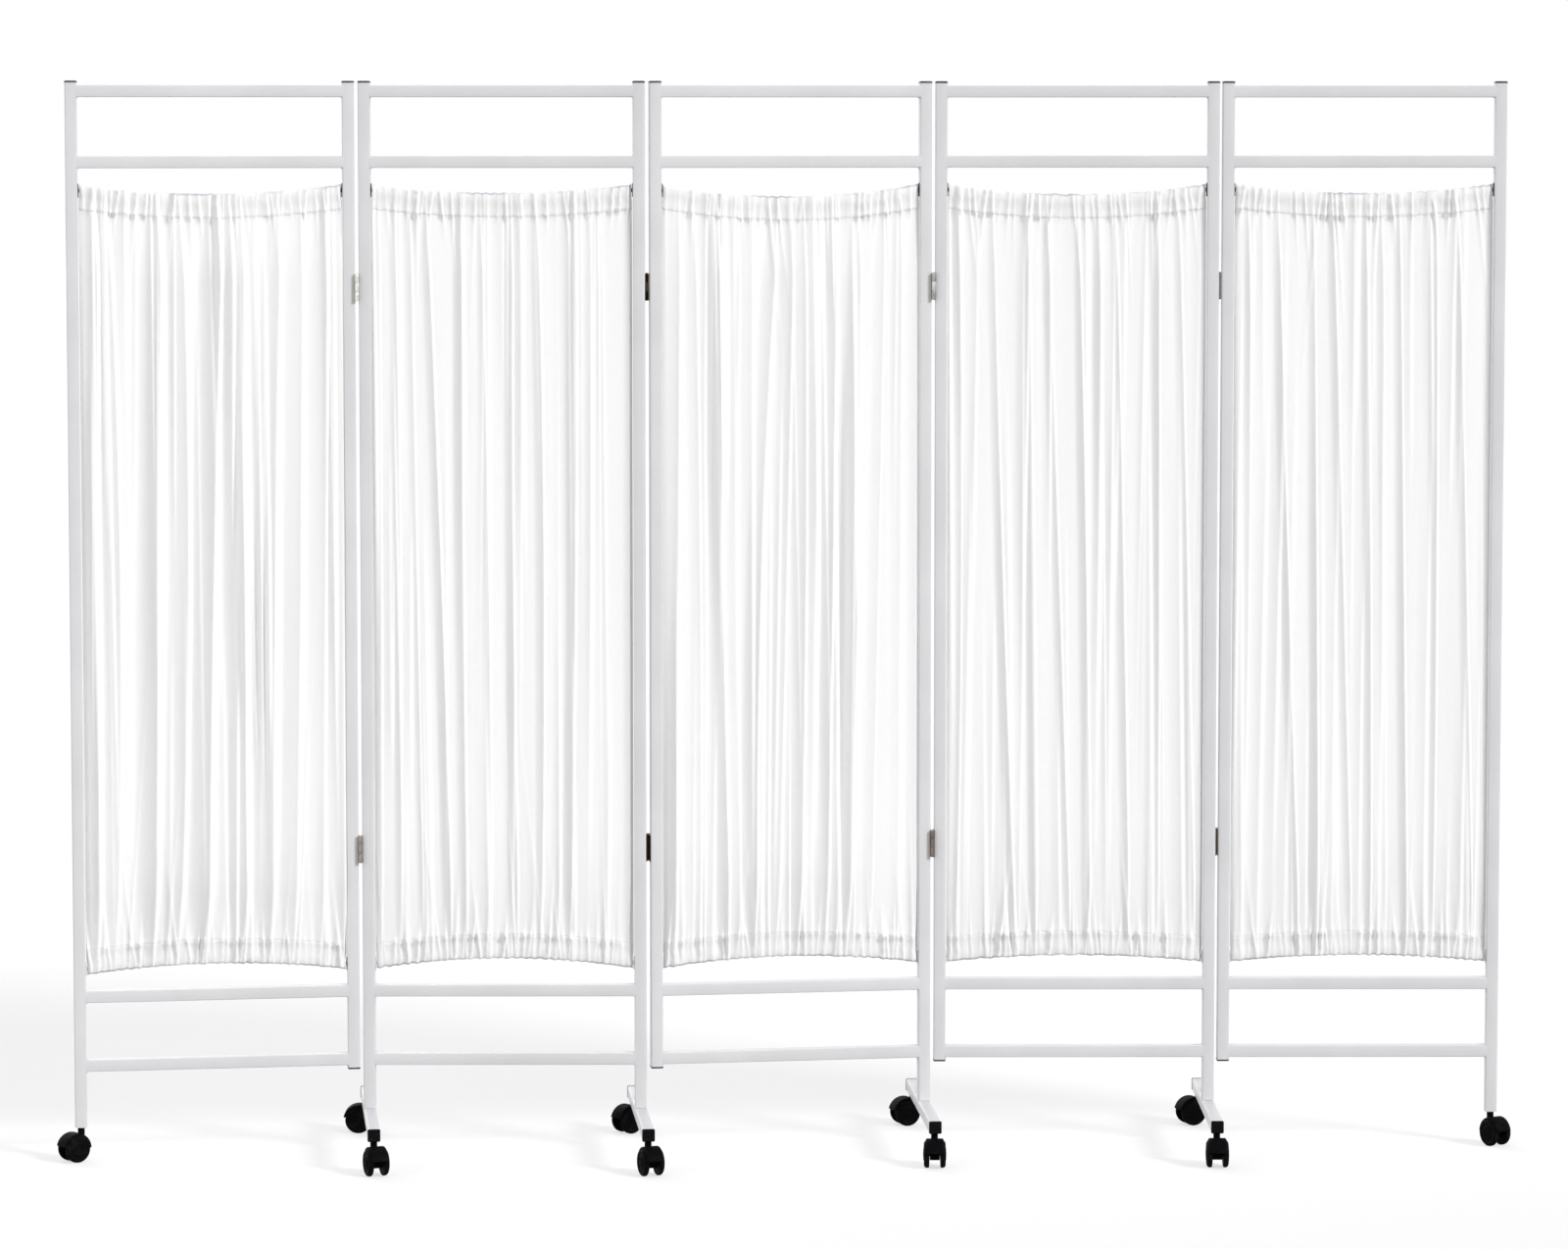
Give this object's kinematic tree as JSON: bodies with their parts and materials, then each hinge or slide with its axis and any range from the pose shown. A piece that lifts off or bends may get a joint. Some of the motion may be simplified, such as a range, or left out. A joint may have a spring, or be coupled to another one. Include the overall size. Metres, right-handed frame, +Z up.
{
  "type": "folding ward screen",
  "caption": "Folding privacy screen: square-tube panels with gathered curtains, joined by butt hinges, on T-feet and end posts with twin-wheel castors.",
  "frame": {"origin": "on the floor, at the middle of the box around the part", "axes": "+X along the screen from its left end to its right one as the picture shows it, -Y towards the viewer, +Z up"},
  "size_m": [2.448, 0.495, 1.8],
  "materials": {
    "frame": "smooth white powder coat with dark grey end caps",
    "foot": "smooth white powder coat with black end plugs",
    "curtain": "plain white woven cloth, matt",
    "curtain_wire": "white plastic sleeve over a sprung wire",
    "hinge": "plated steel, slightly warm",
    "caster_body": "black moulded nylon",
    "caster_wheel": "black moulded nylon, satin"
  },
  "bodies": {
    "panel_1": {"panel_frame_1": "frame", "curtain_1": "curtain", "curtain_wire_top_1": "curtain_wire", "curtain_wire_bottom_1": "curtain_wire", "hinge_leaf_upper_1_2_pin": "hinge", "hinge_leaf_lower_1_2_pin": "hinge"},
    "panel_2": {"panel_frame_2": "frame", "curtain_2": "curtain", "curtain_wire_top_2": "curtain_wire", "curtain_wire_bottom_2": "curtain_wire", "hinge_leaf_upper_2_3_pin": "hinge", "hinge_leaf_lower_2_3_pin": "hinge", "hinge_leaf_upper_1_2_free": "hinge", "hinge_leaf_lower_1_2_free": "hinge", "foot_1": "foot", "foot_2": "foot"},
    "panel_3": {"panel_frame_3": "frame", "curtain_3": "curtain", "curtain_wire_top_3": "curtain_wire", "curtain_wire_bottom_3": "curtain_wire", "hinge_leaf_upper_3_4_pin": "hinge", "hinge_leaf_lower_3_4_pin": "hinge", "hinge_leaf_upper_2_3_free": "hinge", "hinge_leaf_lower_2_3_free": "hinge", "foot_3": "foot"},
    "panel_4": {"panel_frame_4": "frame", "curtain_4": "curtain", "curtain_wire_top_4": "curtain_wire", "curtain_wire_bottom_4": "curtain_wire", "hinge_leaf_upper_4_5_pin": "hinge", "hinge_leaf_lower_4_5_pin": "hinge", "hinge_leaf_upper_3_4_free": "hinge", "hinge_leaf_lower_3_4_free": "hinge", "foot_4": "foot"},
    "panel_5": {"panel_frame_5": "frame", "curtain_5": "curtain", "curtain_wire_top_5": "curtain_wire", "curtain_wire_bottom_5": "curtain_wire", "hinge_leaf_upper_4_5_free": "hinge", "hinge_leaf_lower_4_5_free": "hinge"},
    "caster_swivel_left_end": {"caster_body_left_end": "caster_body"},
    "caster_axle_left_end": {"caster_wheels_left_end": "caster_wheel"},
    "caster_swivel_foot_1_front": {"caster_body_foot_1_front": "caster_body"},
    "caster_axle_foot_1_front": {"caster_wheels_foot_1_front": "caster_wheel"},
    "caster_swivel_foot_1_back": {"caster_body_foot_1_back": "caster_body"},
    "caster_axle_foot_1_back": {"caster_wheels_foot_1_back": "caster_wheel"},
    "caster_swivel_foot_2_front": {"caster_body_foot_2_front": "caster_body"},
    "caster_axle_foot_2_front": {"caster_wheels_foot_2_front": "caster_wheel"},
    "caster_swivel_foot_2_back": {"caster_body_foot_2_back": "caster_body"},
    "caster_axle_foot_2_back": {"caster_wheels_foot_2_back": "caster_wheel"},
    "caster_swivel_foot_3_front": {"caster_body_foot_3_front": "caster_body"},
    "caster_axle_foot_3_front": {"caster_wheels_foot_3_front": "caster_wheel"},
    "caster_swivel_foot_3_back": {"caster_body_foot_3_back": "caster_body"},
    "caster_axle_foot_3_back": {"caster_wheels_foot_3_back": "caster_wheel"},
    "caster_swivel_foot_4_front": {"caster_body_foot_4_front": "caster_body"},
    "caster_axle_foot_4_front": {"caster_wheels_foot_4_front": "caster_wheel"},
    "caster_swivel_foot_4_back": {"caster_body_foot_4_back": "caster_body"},
    "caster_axle_foot_4_back": {"caster_wheels_foot_4_back": "caster_wheel"},
    "caster_swivel_right_end": {"caster_body_right_end": "caster_body"},
    "caster_axle_right_end": {"caster_wheels_right_end": "caster_wheel"}
  },
  "joints": [
    {"name": "panel_2_fold", "type": "hinge", "parent": "panel_3", "child": "panel_2", "pos_m": [-0.23742, -0.00809, 0.9875], "axis": [0, 0, -1], "range_deg": [-8, 112]},
    {"name": "panel_1_fold", "type": "hinge", "parent": "panel_2", "child": "panel_1", "pos_m": [-0.71842, -0.03609, 0.9875], "axis": [0, 0, 1], "range_deg": [-8, 137]},
    {"name": "panel_4_fold", "type": "hinge", "parent": "panel_3", "child": "panel_4", "pos_m": [0.2428, 0.03113, 0.9875], "axis": [0, 0, -1], "range_deg": [-8, 112]},
    {"name": "panel_5_fold", "type": "hinge", "parent": "panel_4", "child": "panel_5", "pos_m": [0.7238, 0.05913, 0.9875], "axis": [0, 0, 1], "range_deg": [0, 145]},
    {"name": "caster_left_end_swivel", "type": "hinge", "parent": "panel_1", "child": "caster_swivel_left_end", "pos_m": [-1.18431, -0.08743, 0.057], "axis": [0, 0, 1], "continuous": true},
    {"name": "caster_left_end_roll", "type": "hinge", "parent": "caster_swivel_left_end", "child": "caster_axle_left_end", "pos_m": [-1.19549, -0.09585, 0.0225], "axis": [0.6018, -0.7986, 0], "continuous": true},
    {"name": "caster_foot_1_front_swivel", "type": "hinge", "parent": "panel_2", "child": "caster_swivel_foot_1_front", "pos_m": [-0.68669, -0.20508, 0.057], "axis": [0, 0, 1], "continuous": true},
    {"name": "caster_foot_1_front_roll", "type": "hinge", "parent": "caster_swivel_foot_1_front", "child": "caster_axle_foot_1_front", "pos_m": [-0.6819, -0.21823, 0.0225], "axis": [0.9397, 0.342, 0], "continuous": true},
    {"name": "caster_foot_1_back_swivel", "type": "hinge", "parent": "panel_2", "child": "caster_swivel_foot_1_back", "pos_m": [-0.72515, 0.16091, 0.057], "axis": [0, 0, 1], "continuous": true},
    {"name": "caster_foot_1_back_roll", "type": "hinge", "parent": "caster_swivel_foot_1_back", "child": "caster_axle_foot_1_back", "pos_m": [-0.73915, 0.16091, 0.0225], "axis": [0, -1, 0], "continuous": true},
    {"name": "caster_foot_2_front_swivel", "type": "hinge", "parent": "panel_2", "child": "caster_swivel_foot_2_front", "pos_m": [-0.23388, -0.20539, 0.057], "axis": [0, 0, 1], "continuous": true},
    {"name": "caster_foot_2_front_roll", "type": "hinge", "parent": "caster_swivel_foot_2_front", "child": "caster_axle_foot_2_front", "pos_m": [-0.22909, -0.21854, 0.0225], "axis": [0.9397, 0.342, 0], "continuous": true},
    {"name": "caster_foot_2_back_swivel", "type": "hinge", "parent": "panel_2", "child": "caster_swivel_foot_2_back", "pos_m": [-0.26596, 0.16121, 0.057], "axis": [0, 0, 1], "continuous": true},
    {"name": "caster_foot_2_back_roll", "type": "hinge", "parent": "caster_swivel_foot_2_back", "child": "caster_axle_foot_2_back", "pos_m": [-0.27699, 0.1526, 0.0225], "axis": [0.6157, -0.788, 0], "continuous": true},
    {"name": "caster_foot_3_front_swivel", "type": "hinge", "parent": "panel_3", "child": "caster_swivel_foot_3_front", "pos_m": [0.2413, -0.1403, 0.057], "axis": [0, 0, 1], "continuous": true},
    {"name": "caster_foot_3_front_roll", "type": "hinge", "parent": "caster_swivel_foot_3_front", "child": "caster_axle_foot_3_front", "pos_m": [0.2413, -0.1543, 0.0225], "axis": [1, 0, 0], "continuous": true},
    {"name": "caster_foot_3_back_swivel", "type": "hinge", "parent": "panel_3", "child": "caster_swivel_foot_3_back", "pos_m": [0.21563, 0.22681, 0.057], "axis": [0, 0, 1], "continuous": true},
    {"name": "caster_foot_3_back_roll", "type": "hinge", "parent": "caster_swivel_foot_3_back", "child": "caster_axle_foot_3_back", "pos_m": [0.20248, 0.22202, 0.0225], "axis": [0.342, -0.9397, 0], "continuous": true},
    {"name": "caster_foot_4_front_swivel", "type": "hinge", "parent": "panel_4", "child": "caster_swivel_foot_4_front", "pos_m": [0.7113, -0.13887, 0.057], "axis": [0, 0, 1], "continuous": true},
    {"name": "caster_foot_4_front_roll", "type": "hinge", "parent": "caster_swivel_foot_4_front", "child": "caster_axle_foot_4_front", "pos_m": [0.7113, -0.15287, 0.0225], "axis": [1, 0, 0], "continuous": true},
    {"name": "caster_foot_4_back_swivel", "type": "hinge", "parent": "panel_4", "child": "caster_swivel_foot_4_back", "pos_m": [0.7113, 0.22913, 0.057], "axis": [0, 0, 1], "continuous": true},
    {"name": "caster_foot_4_back_roll", "type": "hinge", "parent": "caster_swivel_foot_4_back", "child": "caster_axle_foot_4_back", "pos_m": [0.69814, 0.22434, 0.0225], "axis": [0.342, -0.9397, 0], "continuous": true},
    {"name": "caster_right_end_swivel", "type": "hinge", "parent": "panel_5", "child": "caster_swivel_right_end", "pos_m": [1.1923, 0.04513, 0.057], "axis": [0, 0, 1], "continuous": true},
    {"name": "caster_right_end_roll", "type": "hinge", "parent": "caster_swivel_right_end", "child": "caster_axle_right_end", "pos_m": [1.1993, 0.033, 0.0225], "axis": [0.866, 0.5, 0], "continuous": true}
  ]
}
